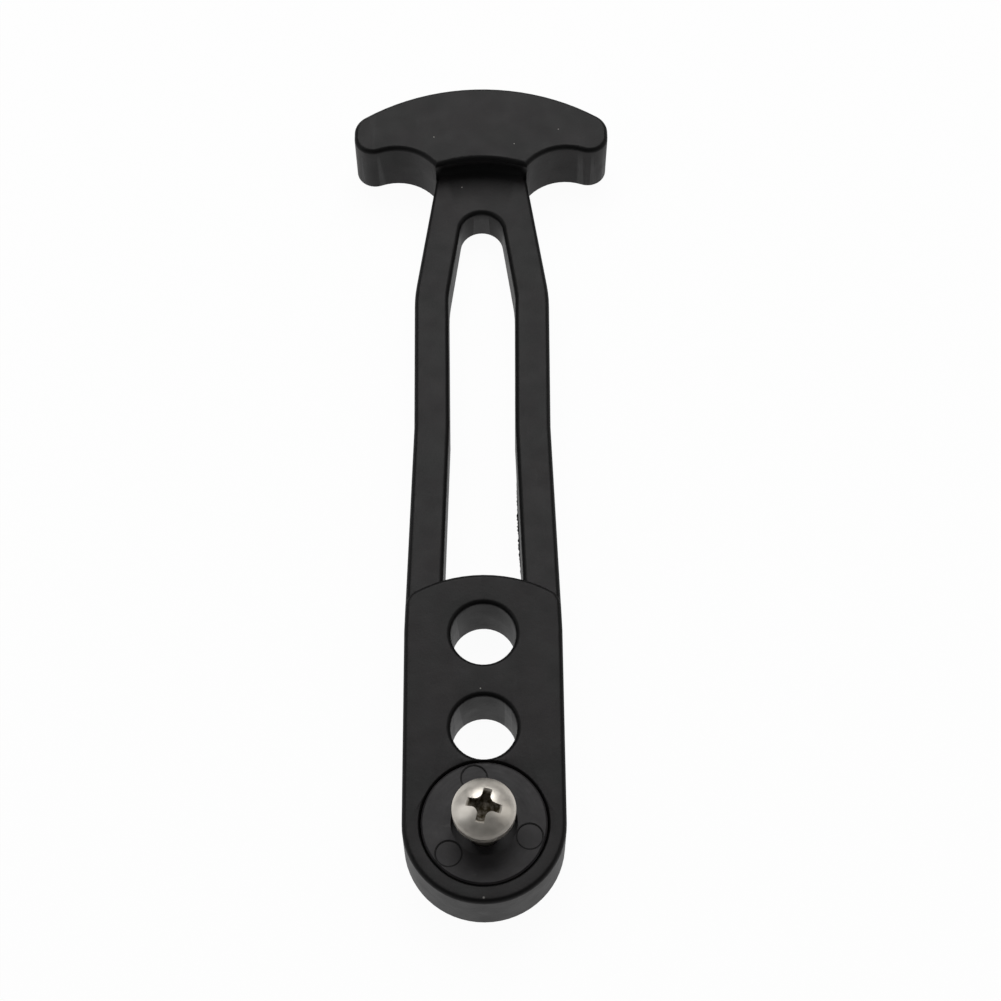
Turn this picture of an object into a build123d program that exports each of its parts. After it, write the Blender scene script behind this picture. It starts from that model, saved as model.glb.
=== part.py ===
from build123d import *
import os
from math import atan2, cos, degrees, hypot, sin, sqrt, tan

# Rubber T draw latch: a moulded rubber strap with a T handle, swivelling on a top-hat bush that a pan
# head screw fixes to a box or a cooler. Millimetres, +Z out of the front face.
# The origin is on the pivot axis, at the flat back. +Y runs along the strap to the T handle.

# ---------------------------------------------------------------- driving dimensions: strap
strap_thickness = 11.0       # pad and handle, front to back
neck_thickness = 6.4         # strap just before the handle
arm_step = 0.5               # the arms start this much below the pad's front face
edge_radius = 0.9            # rounding of every front edge
hole_rim = 0.8               # eased mouths of the two strap holes, in two steps
hole_rim_step = 0.25

pad_width = 26.0
pad_straight = 33.0          # pivot axis to the end of the parallel sides
waist_width = 23.6
waist_y = 72.0
shoulder_width = 24.1
shoulder_y = 99.7
neck_width = 16.8            # where the neck meets the handle
handle_root_y = 125.3

shoulder_blend = 30.0        # outline radius at the shoulders

arch_y = 43.0                # crown of the pad's curved end, inside the window
arch_radius = 23.0
arch_corner = 3.0
arm_width = 6.1
window_centre_y = 113.8      # centre of the window's round end

hole_diameter = 10.7
hole_y = 16.0                # pivot axis to the nearer strap hole
hole_pitch = 16.3
hole_count = 2

# ---------------------------------------------------------------- driving dimensions: T handle
handle_width = 46.8
handle_depth = 17.7          # root to crown
crown_radius = 39.0
crown_corner = 4.0
lobe_radius = 3.4
scoop_radius = 8.8           # finger scoops under both ends of the T
scoop_rise = 3.9
step_rise = 1.6              # crown of the arched step between neck and handle

# ---------------------------------------------------------------- driving dimensions: bush
flange_diameter = 20.0
flange_thickness = 2.5
flange_drop = 0.15           # the flange lies this much below the pad's front face
flange_gap = 0.2             # round the flange, in its recess
axial_play = 0.1             # under the flange
seat_rim = 0.3               # chamfer at the mouth of the recess
barrel_diameter = 14.0
running_clearance = 0.05     # barrel in the strap, on the radius
bush_bore = 5.5
bush_edge = 0.3              # chamfer round the flange
counterbore_diameter = 10.6
counterbore_depth = 4.0
mark_diameter = 4.2          # ejector pin marks on the flange
mark_circle = 15.0
mark_angle = 102.0
mark_count = 3
mark_depth = 0.12

# ---------------------------------------------------------------- driving dimensions: screw
thread_diameter = 5.0
screw_length = 16.0          # under the head
head_diameter = 10.0
head_height = 3.7
head_rim = 1.5               # height of the upright rim under the dome
head_edge = 0.35             # chamfer between that rim and the dome
cross_turn = 14.0            # how far the cross recess is turned, clockwise
cross_span = 5.6
cross_arm = 1.2
cross_blend = 0.9            # rounding in the four inner corners
cross_depth = 2.4
foot_span = 2.0              # the recess narrows to this at its foot

# ---------------------------------------------------------------- worked out from the above
pad_half = pad_width / 2
neck_half = neck_width / 2
handle_half = handle_width / 2
handle_overlap = handle_depth / 3
handle_end_y = handle_root_y + handle_overlap
flank_angle = atan2((shoulder_width - neck_width) / 2, handle_root_y - shoulder_y)
front_slope = (strap_thickness - arm_step - neck_thickness) / (handle_root_y - arch_y)

# window: its flanks run parallel to the outer sides, and its far end is a round tangent to them
flank_half = shoulder_width / 2 - (window_centre_y - shoulder_y) * tan(flank_angle) - arm_width
window_radius = flank_half * cos(flank_angle)
window_tangent = (
    window_radius * cos(flank_angle),
    window_centre_y + window_radius * sin(flank_angle),
)

# the flanks run straight on into the handle
flank_end = neck_half - handle_overlap * tan(flank_angle)

# handle: the scoop starts at the neck's corner, and the lobe is tangent to the scoop and to the end
scoop_x = neck_half + sqrt(scoop_radius**2 - (scoop_radius - scoop_rise) ** 2)
scoop_y = handle_root_y + scoop_rise - scoop_radius
lobe_x = handle_half - lobe_radius
lobe_y = scoop_y + sqrt((scoop_radius + lobe_radius) ** 2 - (lobe_x - scoop_x) ** 2)
lobe_angle = degrees(atan2(lobe_y - scoop_y, lobe_x - scoop_x))
neck_angle = degrees(atan2(handle_root_y - scoop_y, neck_half - scoop_x))
crown_y = handle_root_y + handle_depth - crown_radius
crown_end_y = crown_y + sqrt(crown_radius**2 - handle_half**2)

# bush and its seat in the strap
bush_length = strap_thickness - flange_drop
seat_diameter = flange_diameter + 2 * flange_gap
seat_depth = flange_thickness + flange_drop + axial_play
pivot_hole_diameter = barrel_diameter + 2 * running_clearance


def arms_front(y):
    """Height of the sloping front face of the arms and the neck, at a place along the strap."""
    return strap_thickness - arm_step - front_slope * (y - arch_y)


def both_sides(right):
    """A loop of points: up the right side, and down the left side as its mirror image."""
    left = [(-x, y) for x, y in reversed(right)]
    return right + left


def blend_shoulders(inset):
    """Round the outline at the shoulders, with a radius that keeps an inset outline parallel."""
    corners = [v for v in vertices() if abs(v.Y - shoulder_y) < 0.01]
    fillet(corners, radius=shoulder_blend - inset)


# ---------------------------------------------------------------- strap: arms and neck
sides = [(pad_half, pad_straight), (waist_width / 2, waist_y), (shoulder_width / 2, shoulder_y)]
band_right = [(pad_half, 0), *sides, (flank_end, handle_end_y)]
window_right = [(x - arm_width, y) for x, y in sides]
window_right = [(window_right[0][0], 0), *window_right, window_tangent]

with BuildPart() as band:
    with BuildSketch():
        with BuildLine():
            Polyline(*both_sides(band_right), close=True)
        make_face()
        blend_shoulders(0)
    extrude(amount=strap_thickness)
    with BuildSketch(Plane.YZ):
        with BuildLine():
            Polyline(
                (0, 0),
                (handle_end_y, 0),
                (handle_end_y, arms_front(handle_end_y)),
                (0, arms_front(0)),
                close=True,
            )
        make_face()
    extrude(amount=pad_width, both=True, mode=Mode.INTERSECT)
    with BuildSketch():
        with BuildLine():
            Polyline(*both_sides(window_right), close=True)
        make_face()
        blend_shoulders(arm_width)
        with Locations((0, window_centre_y)):
            Circle(window_radius)
    extrude(amount=strap_thickness, mode=Mode.SUBTRACT)
    front = faces().filter_by(lambda f: f.normal_at().Z > 0.9).sort_by(SortBy.AREA)[-1]
    fillet(front.edges().filter_by(Axis.X, reverse=True), radius=edge_radius)

# ---------------------------------------------------------------- strap: pivot pad
with BuildPart() as pad:
    with BuildSketch() as arch:
        with Locations((0, arch_y - arch_radius)):
            Circle(arch_radius)
            Rectangle(2 * arch_radius, 2 * arch_radius, align=(Align.CENTER, Align.MAX))
    with BuildSketch() as pad_outline:
        with BuildLine():
            Polyline(*both_sides(band_right), close=True)
        make_face()
        blend_shoulders(0)
        add(arch.sketch, mode=Mode.INTERSECT)
        fillet(vertices().group_by(Axis.Y)[-1], radius=arch_corner)
        Circle(pad_half)
    extrude(pad_outline.sketch, amount=strap_thickness)
    fillet(faces().sort_by(Axis.Z)[-1].edges(), radius=edge_radius)

# ---------------------------------------------------------------- strap: T handle
with BuildPart() as handle:
    with BuildSketch():
        with BuildLine():
            crown = ThreePointArc(
                (-handle_half, crown_end_y), (0, crown_y + crown_radius), (handle_half, crown_end_y)
            )
            right_end = Line(crown @ 1, (handle_half, lobe_y))
            right_lobe = CenterArc((lobe_x, lobe_y), lobe_radius, 0, lobe_angle - 180)
            right_scoop = CenterArc((scoop_x, scoop_y), scoop_radius, lobe_angle, neck_angle - lobe_angle)
            step = SagittaArc((neck_half, handle_root_y), (-neck_half, handle_root_y), step_rise)
            mirror(right_end, about=Plane.YZ)
            mirror(right_lobe, about=Plane.YZ)
            mirror(right_scoop, about=Plane.YZ)
        make_face()
        fillet(vertices().sort_by(Axis.Y)[-2:], radius=crown_corner)
    extrude(amount=strap_thickness)
    fillet(faces().sort_by(Axis.Z)[-1].edges(), radius=edge_radius)

# ---------------------------------------------------------------- strap: what is cut out of it
def flared_hole(radius, floor, mouth, step):
    """A round hole as a solid, from a floor to the front face. Its mouth flares through a middle step."""
    top = strap_thickness
    with BuildPart() as hole:
        with BuildSketch(Plane.XZ):
            with BuildLine():
                Polyline(
                    (0, floor),
                    (radius, floor),
                    (radius, top - mouth),
                    (radius + step, top - step),
                    (radius + mouth, top),
                    (0, top),
                    close=True,
                )
            make_face()
        revolve(axis=Axis.Z)
    return hole.part


strap_hole = flared_hole(hole_diameter / 2, 0, hole_rim, hole_rim_step)
flange_seat = flared_hole(seat_diameter / 2, strap_thickness - seat_depth, seat_rim, seat_rim / 2)

# ---------------------------------------------------------------- strap: the one moulded piece
with BuildPart() as strap:
    add(band.part)
    add(pad.part)
    add(handle.part)
    Hole(pivot_hole_diameter / 2)
    add(flange_seat, mode=Mode.SUBTRACT)
    for hole in range(hole_count):
        with Locations((0, hole_y + hole * hole_pitch)):
            add(strap_hole, mode=Mode.SUBTRACT)

# ---------------------------------------------------------------- pivot bush
flange_back = bush_length - flange_thickness
counterbore_floor = bush_length - counterbore_depth

with BuildPart() as pivot_bush:
    with BuildSketch(Plane.XZ):
        with BuildLine():
            Polyline(
                (bush_bore / 2, 0),
                (barrel_diameter / 2, 0),
                (barrel_diameter / 2, flange_back),
                (flange_diameter / 2, flange_back),
                (flange_diameter / 2, bush_length),
                (counterbore_diameter / 2, bush_length),
                (counterbore_diameter / 2, counterbore_floor),
                (bush_bore / 2, counterbore_floor),
                close=True,
            )
        make_face()
    revolve(axis=Axis.Z)
    flange_rim = edges().filter_by(GeomType.CIRCLE).group_by(Axis.Z)[-1].sort_by(SortBy.RADIUS)[-1]
    chamfer(flange_rim, length=bush_edge)
    with BuildSketch(Plane.XY.offset(bush_length)):
        with PolarLocations(mark_circle / 2, mark_count, start_angle=mark_angle):
            Circle(mark_diameter / 2)
    extrude(amount=-mark_depth, mode=Mode.SUBTRACT)

# ---------------------------------------------------------------- screw
head_radius = head_diameter / 2
rim_top = screw_length + head_rim
head_top = screw_length + head_height
dome_reach = head_radius - head_edge
dome_foot = rim_top + head_edge
dome_rise = head_top - dome_foot
dome_radius = (dome_reach**2 + dome_rise**2) / (2 * dome_rise)


with BuildPart() as cross_recess:
    with BuildSketch(Plane.XY.rotated((0, 0, -cross_turn)).offset(head_top)):
        Rectangle(cross_span, cross_arm)
        Rectangle(cross_arm, cross_span)
        inner = vertices().group_by(lambda v: round(hypot(v.X, v.Y), 3))[0]
        fillet(inner, radius=cross_blend)
    extrude(amount=-cross_depth)
    with Locations((0, 0, head_top)):
        Cone(
            foot_span / 2,
            cross_span / 2,
            cross_depth,
            align=(Align.CENTER, Align.CENTER, Align.MAX),
            mode=Mode.INTERSECT,
        )

with BuildPart() as screw:
    with BuildSketch(Plane.XZ):
        with BuildLine():
            Polyline(
                (0, head_top),
                (0, 0),
                (thread_diameter / 2, 0),
                (thread_diameter / 2, screw_length),
                (head_radius, screw_length),
                (head_radius, rim_top),
                (dome_reach, dome_foot),
            )
            RadiusArc((dome_reach, dome_foot), (0, head_top), -dome_radius)
        make_face()
    revolve(axis=Axis.Z)
    add(cross_recess.part, mode=Mode.SUBTRACT)

# ---------------------------------------------------------------- files
os.makedirs("parts", exist_ok=True)

strap.part.label = "strap"
export_step(strap.part, "parts/strap.step")

pivot_bush.part.label = "pivot_bush"
export_step(pivot_bush.part, "parts/pivot_bush.step")

screw.part.label = "screw"
export_step(screw.part, "parts/screw.step")
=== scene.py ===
import random
from math import cos, hypot, pi, radians, sin, sqrt

import bmesh
import bpy
from mathutils import Matrix, Vector


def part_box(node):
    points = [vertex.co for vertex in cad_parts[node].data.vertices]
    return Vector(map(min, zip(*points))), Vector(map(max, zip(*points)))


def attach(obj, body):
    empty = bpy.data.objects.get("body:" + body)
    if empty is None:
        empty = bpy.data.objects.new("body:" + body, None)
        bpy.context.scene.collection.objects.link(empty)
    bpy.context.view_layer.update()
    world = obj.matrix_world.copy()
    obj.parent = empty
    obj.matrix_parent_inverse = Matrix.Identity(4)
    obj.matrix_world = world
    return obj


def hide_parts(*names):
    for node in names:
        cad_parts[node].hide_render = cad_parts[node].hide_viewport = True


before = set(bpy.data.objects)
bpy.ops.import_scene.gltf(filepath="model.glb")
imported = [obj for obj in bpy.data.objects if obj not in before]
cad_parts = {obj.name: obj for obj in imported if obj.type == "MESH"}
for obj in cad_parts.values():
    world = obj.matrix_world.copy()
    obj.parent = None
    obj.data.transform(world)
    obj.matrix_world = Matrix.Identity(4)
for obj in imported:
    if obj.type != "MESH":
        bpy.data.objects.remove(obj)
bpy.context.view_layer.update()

MM = 0.001
chance = random.Random(7)

# ---------------------------------------------------------------- material helpers


class Looks:
    """A node material under construction, with short calls for the nodes that it uses."""

    def __init__(self, name):
        self.material = bpy.data.materials.new("looks_" + name)
        self.material.use_nodes = True
        self.tree = self.material.node_tree
        self.shader = self.tree.nodes["Principled BSDF"]
        self.place = self.node("ShaderNodeTexCoord").outputs["Object"]

    def node(self, kind, **settings):
        made = self.tree.nodes.new(kind)
        for key, value in settings.items():
            setattr(made, key, value)
        return made

    def put(self, socket, value):
        if isinstance(value, bpy.types.NodeSocket):
            self.tree.links.new(value, socket)
        else:
            socket.default_value = value

    def math(self, operation, *values):
        made = self.node("ShaderNodeMath", operation=operation)
        for socket, value in zip(made.inputs, values):
            self.put(socket, value)
        return made.outputs[0]

    def noise(self, scale, detail=4.0, stretch=(1, 1, 1)):
        mapping = self.node("ShaderNodeMapping")
        mapping.inputs["Scale"].default_value = stretch
        self.put(mapping.inputs["Vector"], self.place)
        made = self.node("ShaderNodeTexNoise")
        made.inputs["Scale"].default_value = scale
        made.inputs["Detail"].default_value = detail
        self.put(made.inputs["Vector"], mapping.outputs["Vector"])
        return made.outputs["Fac"]

    def between(self, value, low, high, to_low=0.0, to_high=1.0):
        """A value between two limits, spread from one number to another and held there outside them."""
        made = self.node("ShaderNodeMapRange")
        made.inputs["From Min"].default_value = low
        made.inputs["From Max"].default_value = high
        made.inputs["To Min"].default_value = to_low
        made.inputs["To Max"].default_value = to_high
        self.put(made.inputs["Value"], value)
        return made.outputs["Result"]

    def mix(self, share, first, second):
        made = self.node("ShaderNodeMix", data_type="RGBA")
        self.put(made.inputs["Factor"], share)
        self.put(made.inputs["A"], (*first, 1) if isinstance(first, tuple) else first)
        self.put(made.inputs["B"], (*second, 1) if isinstance(second, tuple) else second)
        return made.outputs["Result"]

    def bump(self, height, depth, onto=None):
        made = self.node("ShaderNodeBump")
        made.inputs["Distance"].default_value = depth
        self.put(made.inputs["Height"], height)
        if onto is not None:
            self.put(made.inputs["Normal"], onto)
        return made.outputs["Normal"]

    def axes(self):
        """The place along X, Y and Z."""
        made = self.node("ShaderNodeSeparateXYZ")
        self.put(made.inputs[0], self.place)
        return made.outputs

    def radius(self):
        """Distance from the pivot axis."""
        axes = self.axes()
        across = self.math("POWER", axes["X"], 2.0)
        along = self.math("POWER", axes["Y"], 2.0)
        return self.math("SQRT", self.math("ADD", across, along))

    def distance(self, centre):
        """Distance from a point."""
        made = self.node("ShaderNodeVectorMath", operation="DISTANCE")
        self.put(made.inputs[0], self.place)
        made.inputs[1].default_value = centre
        return made.outputs["Value"]

    def edges(self):
        """1 on the rounded front edges, where the rubber gets painted shade, 0 on the flat front and on
        the walls.
        """
        facing = self.node("ShaderNodeSeparateXYZ")
        self.put(facing.inputs[0], self.node("ShaderNodeTexCoord").outputs["Normal"])
        off_front = self.between(facing.outputs["Z"], 0.995, 0.93)
        off_wall = self.between(facing.outputs["Z"], 0.05, 0.3)
        return self.math("MULTIPLY", off_front, off_wall)

    def rings(self, centres, radius, line):
        """1 on a thin line round each centre."""
        found = 0.0
        for centre in centres:
            off_line = self.math("ABSOLUTE", self.math("SUBTRACT", self.distance(centre), radius))
            found = self.math("MAXIMUM", found, self.between(off_line, line, line / 2))
        return found

    def dots(self, centres, radius):
        """1 inside a small ball round each centre."""
        found = 0.0
        for centre in centres:
            found = self.math("MAXIMUM", found, self.between(self.distance(centre), radius, radius / 2))
        return found

    def finish(self, colour, roughness, normal):
        self.put(self.shader.inputs["Base Color"], colour)
        self.put(self.shader.inputs["Roughness"], roughness)
        self.put(self.shader.inputs["Normal"], normal)
        return self.material


# ---------------------------------------------------------------- materials


# grains of dust on the front faces, with their places in millimetres
DUST_RADIUS = 0.13 * MM
DUST_PLACES = (
    (-8.7, 131.7, 11),
    (6.1, 130.1, 11),
    (14.3, 133.3, 11),
    (-3.6, 123.6, 6.5),
    (-0.5, 22.5, 11),
)
DUST = [(x * MM, y * MM, z * MM) for x, y, z in DUST_PLACES]


def black_rubber():
    looks = Looks("black_rubber")
    looks.shader.inputs["Specular IOR Level"].default_value = 0.2
    cloudy = looks.between(looks.noise(85), 0.35, 0.65)
    warm = looks.between(looks.noise(210, 2.0), 0.4, 0.6)
    colour = looks.mix(cloudy, (0.0118, 0.0122, 0.0120), (0.0152, 0.0138, 0.0141))
    colour = looks.mix(looks.math("MULTIPLY", warm, 0.5), colour, (0.0140, 0.0120, 0.0130))
    scuffs = looks.between(looks.noise(420, 6.0, (1, 0.25, 1)), 0.66, 0.78, 0, 0.35)
    colour = looks.mix(scuffs, colour, (0.032, 0.031, 0.031))
    specks = looks.node("ShaderNodeTexVoronoi", feature="F1")
    specks.inputs["Scale"].default_value = 210
    looks.put(specks.inputs["Vector"], looks.place)
    near = looks.between(specks.outputs["Distance"], 0.055, 0.03)
    chosen = looks.node("ShaderNodeSeparateColor")
    looks.put(chosen.inputs[0], specks.outputs["Color"])
    rare = looks.math("GREATER_THAN", chosen.outputs[0], 0.9)
    colour = looks.mix(looks.math("MULTIPLY", near, rare), colour, (0.17, 0.165, 0.155))
    # painted shade: the rounded front edges are made much darker in the colour
    colour = looks.mix(looks.edges(), colour, (0.0012, 0.0011, 0.0012))
    colour = looks.mix(looks.dots(DUST, DUST_RADIUS), colour, (0.3, 0.29, 0.27))
    roughness = looks.between(looks.noise(260), 0.3, 0.7, 0.50, 0.57)
    normal = looks.bump(looks.noise(2600, 3.0), 0.018 * MM)
    normal = looks.bump(looks.noise(330, 3.0), 0.07 * MM, normal)
    return looks.finish(colour, roughness, normal)


# ejector pin marks on the bush's flange, each with a dark line round it
MARK_COUNT = 3
MARK_START = 102
MARK_CIRCLE_RADIUS = 7.5 * MM
MARK_RADIUS = 2.1 * MM
MARK_LINE = 0.13 * MM
MARK_ANGLES = [radians(MARK_START + 360 * mark / MARK_COUNT) for mark in range(MARK_COUNT)]
MARK_CENTRES = [
    (MARK_CIRCLE_RADIUS * cos(angle), MARK_CIRCLE_RADIUS * sin(angle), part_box("pivot_bush")[1].z)
    for angle in MARK_ANGLES
]

# fine rings left by turning, as radians of a wave per metre out from the axis
BUSH_RINGS = 9000.0
SCREW_RINGS = 21000.0


def black_plastic():
    looks = Looks("black_plastic")
    looks.shader.inputs["Specular IOR Level"].default_value = 0.26
    rings = looks.math("MULTIPLY", looks.radius(), BUSH_RINGS)
    swirl = looks.math("SINE", looks.math("ADD", rings, looks.noise(900, 5.0)))
    cloudy = looks.between(looks.noise(260, 5.0), 0.35, 0.7)
    colour = looks.mix(cloudy, (0.0190, 0.0178, 0.0190), (0.0310, 0.0290, 0.0300))
    scuffs = looks.between(looks.noise(700, 6.0, (0.3, 1, 1)), 0.62, 0.74, 0, 0.5)
    colour = looks.mix(scuffs, colour, (0.060, 0.057, 0.056))
    marks = looks.rings(MARK_CENTRES, MARK_RADIUS, MARK_LINE)
    colour = looks.mix(marks, colour, (0.0004, 0.0004, 0.0004))
    roughness = looks.between(looks.noise(500), 0.3, 0.7, 0.42, 0.58)
    normal = looks.bump(looks.between(swirl, -1, 1), 0.004 * MM)
    normal = looks.bump(looks.noise(450, 3.0), 0.05 * MM, normal)
    normal = looks.bump(looks.between(marks, 0, 1, 1, 0), 0.1 * MM, normal)
    return looks.finish(colour, roughness, normal)


# the screw's heights above the strap's back, and where its cross recess is coloured darker and browner
HEAD_TOP = 19.7 * MM
SHANK_TOP = 16 * MM
RECESS_DARK_FULL = HEAD_TOP - 0.95 * MM
RECESS_DARK_END = HEAD_TOP - 0.6 * MM
RECESS_DARK_INNER_RADIUS = 2.4 * MM
RECESS_DARK_OUTER_RADIUS = 2.9 * MM
RECESS_DARK_FLOOR = SHANK_TOP + 0.9 * MM
RECESS_DARK_FLOOR_BLEND = 0.2 * MM


def stainless():
    looks = Looks("stainless")
    looks.shader.inputs["Metallic"].default_value = 1
    around = looks.radius()
    height = looks.axes()["Z"]
    turned = looks.math("SINE", looks.math("MULTIPLY", around, SCREW_RINGS))
    under_dome = looks.between(height, RECESS_DARK_FULL, RECESS_DARK_END, 1, 0)
    inside = looks.between(around, RECESS_DARK_INNER_RADIUS, RECESS_DARK_OUTER_RADIUS, 1, 0)
    above_shank = looks.between(height, RECESS_DARK_FLOOR, RECESS_DARK_FLOOR + RECESS_DARK_FLOOR_BLEND)
    recess = looks.math("MULTIPLY", looks.math("MULTIPLY", under_dome, inside), above_shank)
    recess = looks.math("MULTIPLY", recess, looks.between(looks.noise(1300), 0.3, 0.6, 0.55, 1))
    stain = looks.between(looks.noise(420, 4.0), 0.4, 0.75, 0, 0.5)
    colour = looks.mix(stain, (0.74, 0.70, 0.635), (0.60, 0.555, 0.49))
    # the cross recess above the shank is coloured darker and browner, and made rougher
    colour = looks.mix(recess, colour, (0.085, 0.068, 0.038))
    roughness = looks.math("ADD", looks.between(looks.noise(800), 0.3, 0.7, 0.34, 0.46), recess)
    normal = looks.bump(looks.between(turned, -1, 1), 0.002 * MM)
    normal = looks.bump(looks.noise(1500, 3.0), 0.012 * MM, normal)
    return looks.finish(colour, roughness, normal)


def paper():
    looks = Looks("floor")
    return looks.finish((0.92, 0.92, 0.92, 1), 0.9, looks.bump(looks.noise(1500), 0.01 * MM))


rubber = black_rubber()
plastic = black_plastic()
steel = stainless()

for node, finish, slot in (
    ("strap", rubber, "black_rubber"),
    ("pivot_bush", plastic, "black_plastic"),
    ("screw", steel, "stainless"),
):
    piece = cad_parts[node]
    piece.data.materials.clear()
    piece.data.materials.append(finish)

# ---------------------------------------------------------------- pieces


def add_piece(name, mesh, finish, body):
    """A smooth piece of one material, which rides on a body."""
    piece = bpy.data.objects.new(name, mesh)
    bpy.context.scene.collection.objects.link(piece)
    mesh.materials.clear()
    mesh.materials.append(finish)
    for face in mesh.polygons:
        face.use_smooth = True
    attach(piece, body)
    return piece


# the screw: the solid's own head, on a shank with a rolled thread
THREAD_RADIUS = 2.5 * MM
THREAD_DEPTH = 0.45 * MM
THREAD_PITCH = 0.8 * MM
CREST_END = 0.096  # share of the way from a crest to a root where the crest's flat ends
ROOT_START = 0.896
POINT_LENGTH = 0.8 * MM
POINT_RADIUS = 1.75 * MM
DOME_RADIUS = 6.77 * MM
DOME_MISS = 0.02 * MM  # corners within this of the dome lie on it
RECESS_FLOOR = SHANK_TOP + 1 * MM  # below the cross recess, and above the head's underside
RECESS_GROWTH = 0.17
GROWTH_FULL = 2.2 * MM  # the growth is full inside this radius, and fades out over the same length
FLAT_AREA = 4 * MM * MM  # larger faces of the screw are flat ones
AROUND = 72
ROWS_PER_TURN = 10


def held(share):
    """A share, held between 0 and 1."""
    return min(1, max(0, share))


def thread_radius(turn, z):
    """Radius of the threaded shank, in a place round it (0 to 1) and along it."""
    phase = (z / THREAD_PITCH - turn) % 1
    valley = abs(2 * phase - 1)
    threaded = THREAD_RADIUS - THREAD_DEPTH * held((valley - CREST_END) / (ROOT_START - CREST_END))
    point = POINT_RADIUS + (THREAD_RADIUS - POINT_RADIUS) * z / POINT_LENGTH
    return min(threaded, point)


def dome_height(out):
    """Height of the head's dome, in a place out from its axis."""
    return HEAD_TOP - DOME_RADIUS + sqrt(max(0, DOME_RADIUS**2 - out**2))


def recess_growth(out):
    """The cross recess opens a little wider than in the solid, and the dome round it gives way."""
    share = held((out - GROWTH_FULL) / GROWTH_FULL)
    return 1 + RECESS_GROWTH * (1 - share * share * (3 - 2 * share))


screw_mesh = bmesh.new()
screw_mesh.from_mesh(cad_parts["screw"].data)
shank = [f for f in screw_mesh.faces if f.calc_center_median().z < SHANK_TOP - 0.01 * MM]
bmesh.ops.delete(screw_mesh, geom=shank, context="FACES")
for corner in screw_mesh.verts:
    out = hypot(corner.co.x, corner.co.y)
    wider = out * recess_growth(out)
    if out > 0 and corner.co.z > RECESS_FLOOR:
        on_dome = abs(corner.co.z - dome_height(out)) < DOME_MISS
        corner.co.x *= wider / out
        corner.co.y *= wider / out
        if on_dome:
            corner.co.z = dome_height(wider)
rows = round(SHANK_TOP / THREAD_PITCH * ROWS_PER_TURN)
rings = []
for row in range(rows + 1):
    z = SHANK_TOP * row / rows
    ring = []
    for here in range(AROUND):
        turn = here / AROUND
        reach = thread_radius(turn, z)
        ring.append(screw_mesh.verts.new((reach * cos(2 * pi * turn), reach * sin(2 * pi * turn), z)))
    rings.append(ring)
for low, high in zip(rings, rings[1:]):
    for here in range(AROUND):
        there = (here + 1) % AROUND
        screw_mesh.faces.new((low[here], low[there], high[there], high[here]))
screw_mesh.faces.new(list(reversed(rings[0])))
dressed = bpy.data.meshes.new("screw_threaded")
screw_mesh.to_mesh(dressed)
screw_mesh.free()
threaded = add_piece("screw_threaded", dressed, steel, "pivot")
for face in dressed.polygons:
    face.use_smooth = face.area < FLAT_AREA
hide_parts("screw")

# the strap: the solid, with the step under the handle arched towards the crown
FRONT = 11 * MM  # front of the pad and the handle
ARMS_FRONT = 10.5 * MM  # front of the arms at the pad's crown, from where it slopes down to the neck
NECK_FRONT = 6.4 * MM  # front of the neck at the handle's root
CROWN_Y = 43 * MM
ROOT_Y = 125.3 * MM
FRONT_SLOPE = (ARMS_FRONT - NECK_FRONT) / (ROOT_Y - CROWN_Y)
NECK_HALF = 8.4 * MM
STEP_RISE = 1.6 * MM
STEP_BEFORE = 0.2 * MM  # the step's corners lie from this much before its line
STEP_BEYOND = 1.15 * MM  # to this much beyond it, with the rounding of its edge
STEP_FOOT = 6.0 * MM  # its lowest corners are above this
STEP_FOOT_TOP = 7 * MM  # and the ones under this slide along the neck's slope
SHARP_ANGLE = radians(32)
FLAT_FACE_WEIGHT = 80  # how far the large flat faces lead the shading of the corners

strap_mesh = bmesh.new()
strap_mesh.from_mesh(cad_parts["strap"].data)
bmesh.ops.remove_doubles(strap_mesh, verts=strap_mesh.verts, dist=0.002 * MM)
handle_front = [f for f in strap_mesh.faces if min(v.co.z for v in f.verts) > FRONT - 0.01 * MM]
handle_front = [f for f in handle_front if f.calc_center_median().y > ROOT_Y - STEP_RISE]
bmesh.ops.dissolve_faces(strap_mesh, faces=handle_front)
for corner in strap_mesh.verts:
    x, y, z = corner.co
    if abs(x) < NECK_HALF and z > STEP_FOOT:
        bow = STEP_RISE * (1 - (x / NECK_HALF) ** 2)
        inward = y - (ROOT_Y - bow)
        if -STEP_BEFORE < inward < STEP_BEYOND:
            corner.co.y += 2 * bow
            if z < STEP_FOOT_TOP:
                corner.co.z -= FRONT_SLOPE * 2 * bow
bmesh.ops.triangulate(strap_mesh, faces=[f for f in strap_mesh.faces if len(f.verts) > 4])
moulded = bpy.data.meshes.new("strap_moulded")
strap_mesh.to_mesh(moulded)
strap_mesh.free()
strap = add_piece("strap_moulded", moulded, rubber, "strap")
moulded.set_sharp_from_angle(angle=SHARP_ANGLE)
even = strap.modifiers.new("even_normals", "WEIGHTED_NORMAL")
even.keep_sharp = True
even.mode = "FACE_AREA_WITH_ANGLE"
even.weight = FLAT_FACE_WEIGHT
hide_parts("strap")

# the window's right side, which narrows evenly between the pad and the waist
WINDOW_START = 33 * MM
WINDOW_LENGTH = 39 * MM
WINDOW_HALF = 6.9 * MM
WINDOW_NARROWING = 1.2 * MM

# ragged moulding flash along its back edge
FLASH_START = 46 * MM
FLASH_END = 66 * MM
FLASH_ROOT = 0.1 * MM  # its root lies this deep in the arm
FLASH_REACH = 0.35 * MM
FLASH_CURL = 0.02 * MM
FLASH_THICKNESS = 0.12 * MM
FLASH_STEPS = 90


def window_side(y):
    """Half width of the window between the pad and the waist."""
    return WINDOW_HALF - WINDOW_NARROWING * (y - WINDOW_START) / WINDOW_LENGTH


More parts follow.
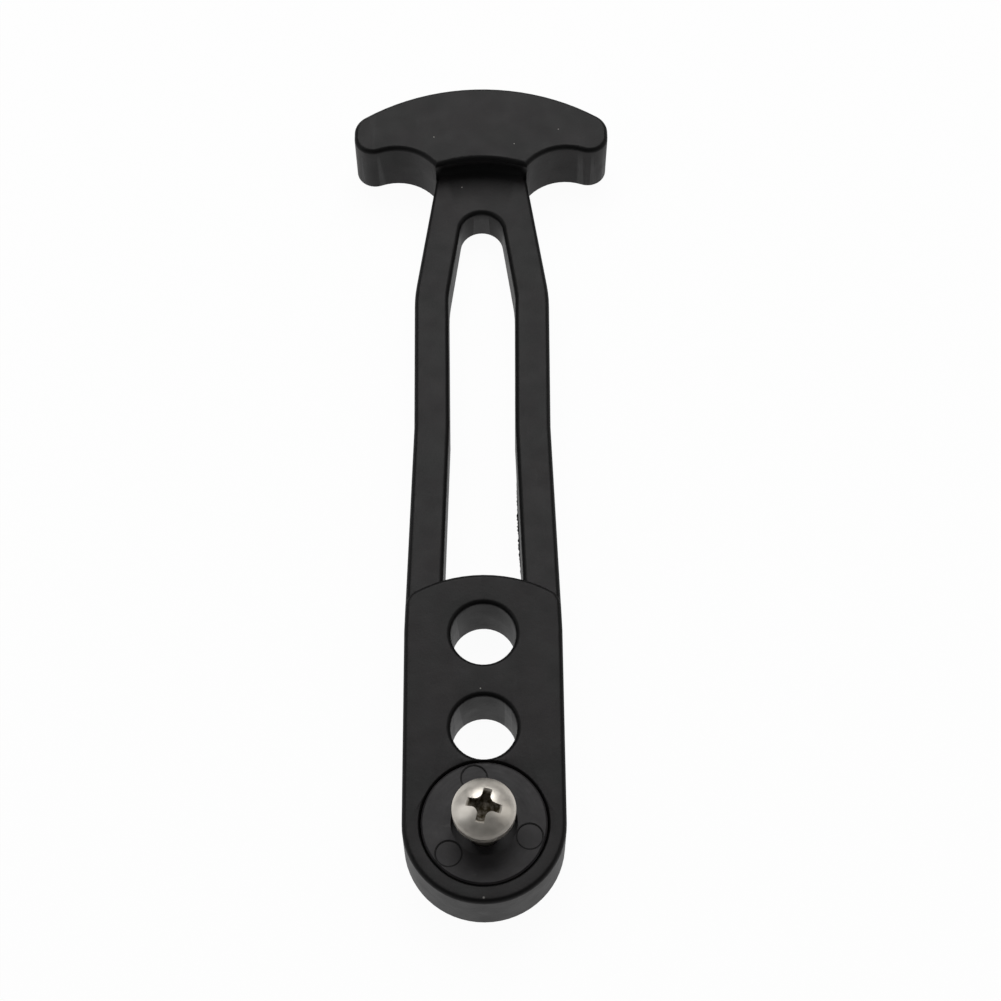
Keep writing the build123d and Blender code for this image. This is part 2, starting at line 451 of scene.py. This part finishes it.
flash_points = []
flash_faces = []
for step in range(FLASH_STEPS + 1):
    y = FLASH_START + (FLASH_END - FLASH_START) * step / FLASH_STEPS
    fade = sin(pi * step / FLASH_STEPS)
    reach = FLASH_REACH * fade * (0.35 + 0.65 * chance.random())
    side = window_side(y)
    root = side + FLASH_ROOT
    lift = FLASH_THICKNESS * (0.6 + 0.4 * chance.random())
    flash_points += [(root, y, 0), (side - reach, y, FLASH_CURL), (root, y, lift)]
for step in range(FLASH_STEPS):
    first = 3 * step
    flash_faces += [
        (first, first + 1, first + 4, first + 3),
        (first + 1, first + 2, first + 5, first + 4),
    ]
flash_mesh = bpy.data.meshes.new("mould_flash")
flash_mesh.from_pydata(flash_points, [], flash_faces)
add_piece("mould_flash", flash_mesh, rubber, "strap")

# ---------------------------------------------------------------- camera

CAMERA_HEIGHT = 332.9 * MM
CAMERA_BACK = 105.7 * MM
CAMERA_SIDE = 2.56 * MM
CAMERA_DOWN = radians(63.26)
OBJECT_TURN = radians(0.45)

camera = bpy.data.objects.new("camera", bpy.data.cameras.new("camera"))
camera.data.lens = 76.8
camera.data.sensor_width = 36
camera.data.clip_start = 0.01
bpy.context.scene.collection.objects.link(camera)
turn = Matrix.Rotation(-OBJECT_TURN, 4, "Z")
place = Matrix.Translation((CAMERA_SIDE, -CAMERA_BACK, CAMERA_HEIGHT))
tilt = Matrix.Rotation(radians(90) - CAMERA_DOWN, 4, "X")
camera.matrix_world = turn @ place @ tilt
bpy.context.scene.camera = camera

# ---------------------------------------------------------------- studio


def white_for_camera(tree, surface, share):
    """Mix plain white into a surface for camera, glossy and transmission rays."""
    paths = tree.nodes.new("ShaderNodeLightPath")
    seen = paths.outputs["Is Camera Ray"]
    for ray in ("Is Glossy Ray", "Is Transmission Ray"):
        either = tree.nodes.new("ShaderNodeMath")
        either.operation = "MAXIMUM"
        tree.links.new(seen, either.inputs[0])
        tree.links.new(paths.outputs[ray], either.inputs[1])
        seen = either.outputs[0]
    part = tree.nodes.new("ShaderNodeMath")
    part.operation = "MULTIPLY"
    part.inputs[1].default_value = share
    tree.links.new(seen, part.inputs[0])
    white = tree.nodes.new("ShaderNodeEmission")
    white.inputs["Strength"].default_value = 1
    blend = tree.nodes.new("ShaderNodeMixShader")
    tree.links.new(part.outputs[0], blend.inputs[0])
    tree.links.new(surface, blend.inputs[1])
    tree.links.new(white.outputs[0], blend.inputs[2])
    return blend.outputs[0]


FLOOR_REACH = 3
PAPER_WHITE = 0.96

floor_mesh = bpy.data.meshes.new("floor")
floor_corners = [(x * FLOOR_REACH, y * FLOOR_REACH, 0) for x, y in ((-1, -1), (1, -1), (1, 1), (-1, 1))]
floor_mesh.from_pydata(floor_corners, [], [(0, 1, 2, 3)])
floor = bpy.data.objects.new("floor", floor_mesh)
bpy.context.scene.collection.objects.link(floor)
floor_paper = paper()
tree = floor_paper.node_tree
surface = white_for_camera(tree, tree.nodes["Principled BSDF"].outputs[0], PAPER_WHITE)
tree.links.new(surface, tree.nodes["Material Output"].inputs["Surface"])
floor.data.materials.append(floor_paper)


LAMPS_AIM = Vector((0, 0.06, 0))


def soft_light(name, place, size, power, tint=(1, 1, 1)):
    """A rectangular lamp that looks at the middle of the strap."""
    lamp = bpy.data.objects.new(name, bpy.data.lights.new(name, "AREA"))
    lamp.data.shape = "RECTANGLE"
    lamp.data.size = size[0]
    lamp.data.size_y = size[1]
    lamp.data.energy = power
    lamp.data.color = tint
    lamp.location = place
    towards = LAMPS_AIM - Vector(place)
    lamp.rotation_euler = towards.to_track_quat("-Z", "Y").to_euler()
    bpy.context.scene.collection.objects.link(lamp)


soft_light("overhead", (0, 0.75, 0.95), (1.0, 0.8), 9.5)
soft_light("left", (-0.75, 0.1, 0.55), (0.5, 0.7), 1.3, (0.97, 0.98, 1))
soft_light("right", (0.75, 0.1, 0.55), (0.5, 0.7), 0.9, (1, 0.98, 0.96))

world = bpy.data.worlds.new("world")
bpy.context.scene.world = world
world.use_nodes = True
sky = world.node_tree.nodes["Background"]
sky.inputs["Color"].default_value = (1, 1, 1, 1)
sky.inputs["Strength"].default_value = 0.13
bpy.context.scene.view_settings.view_transform = "Standard"
